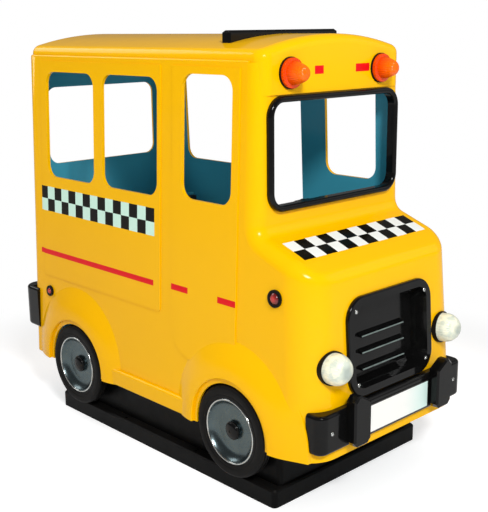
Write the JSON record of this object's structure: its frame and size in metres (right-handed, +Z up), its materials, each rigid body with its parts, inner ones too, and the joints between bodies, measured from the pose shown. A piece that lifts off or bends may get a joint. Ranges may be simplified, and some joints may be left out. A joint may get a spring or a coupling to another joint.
{
  "type": "children's ride-on taxi van",
  "caption": "Coin-operated children's ride in the form of a small taxi van: hollow moulded body with open windows and a doorway, bench seat, steering wheel and turning wheels on a low plinth.",
  "frame": {"origin": "on the floor under the middle of the ride's bounding box", "axes": "-Y towards the van's front, +X towards its left side, +Z up"},
  "size_m": [0.904, 1.816, 1.622],
  "materials": {
    "yellow_gelcoat": "glossy deep yellow glass-fibre gelcoat outside, blue-green inside, with printed bands",
    "teal_gelcoat": "satin blue-green gelcoat",
    "black_gelcoat": "glossy black moulding",
    "black_rubber": "matt black rubber gasket",
    "frosted_lens": "frosted cream lens",
    "amber_lens": "glossy amber lens",
    "red_lens": "glossy red lens",
    "plate_white": "blank pale plate",
    "black_paint": "black painted sheet",
    "black_vinyl": "black grained vinyl",
    "bare_steel": "turned steel",
    "tyre_rubber": "smooth black tyre",
    "wheel_metal": "blue-grey metallic paint"
  },
  "bodies": {
    "ride": {"side_moulding_left": "yellow_gelcoat", "side_moulding_right": "yellow_gelcoat", "bonnet": "yellow_gelcoat", "header_panel": "yellow_gelcoat", "nose_moulding": "yellow_gelcoat", "rear_moulding": "yellow_gelcoat", "roof": "yellow_gelcoat", "roof_board": "black_gelcoat", "windscreen_surround": "black_gelcoat", "grille": "black_gelcoat", "grille_slats": "black_gelcoat", "headlight_bezels": "black_rubber", "headlight_lenses": "frosted_lens", "beacon_bases": "black_rubber", "beacon_lenses": "amber_lens", "side_lamp_bezels": "black_rubber", "side_lamp_lenses": "red_lens", "front_bumper": "black_gelcoat", "rear_bumper": "black_gelcoat", "overriders": "black_gelcoat", "number_plate": "plate_white", "plinth": "black_paint", "machine_housing": "black_paint", "cabin_floor": "teal_gelcoat", "seat": "black_vinyl", "seat_back": "black_vinyl", "dashboard": "teal_gelcoat", "steering_column": "black_paint", "stub_axles": "bare_steel"},
    "steering": {"steering_wheel": "black_gelcoat"},
    "wheel_front_right": {"tyre_front_right": "tyre_rubber", "rim_front_right": "wheel_metal", "hub_cap_front_right": "black_gelcoat"},
    "wheel_rear_right": {"tyre_rear_right": "tyre_rubber", "rim_rear_right": "wheel_metal", "hub_cap_rear_right": "black_gelcoat"},
    "wheel_front_left": {"tyre_front_left": "tyre_rubber", "rim_front_left": "wheel_metal", "hub_cap_front_left": "black_gelcoat"},
    "wheel_rear_left": {"tyre_rear_left": "tyre_rubber", "rim_rear_left": "wheel_metal", "hub_cap_rear_left": "black_gelcoat"}
  },
  "joints": [
    {"name": "wheel_spin_front_right", "type": "hinge", "parent": "ride", "child": "wheel_front_right", "pos_m": [-0.42, -0.472, 0.243], "axis": [1, 0, 0], "continuous": true},
    {"name": "wheel_spin_rear_right", "type": "hinge", "parent": "ride", "child": "wheel_rear_right", "pos_m": [-0.42, 0.486, 0.243], "axis": [1, 0, 0], "continuous": true},
    {"name": "wheel_spin_front_left", "type": "hinge", "parent": "ride", "child": "wheel_front_left", "pos_m": [0.42, -0.472, 0.243], "axis": [1, 0, 0], "continuous": true},
    {"name": "wheel_spin_rear_left", "type": "hinge", "parent": "ride", "child": "wheel_rear_left", "pos_m": [0.42, 0.486, 0.243], "axis": [1, 0, 0], "continuous": true},
    {"name": "steering_turn", "type": "hinge", "parent": "ride", "child": "steering", "pos_m": [0, -0.33, 0.9], "axis": [0, 0.788, 0.6157], "continuous": true}
  ]
}
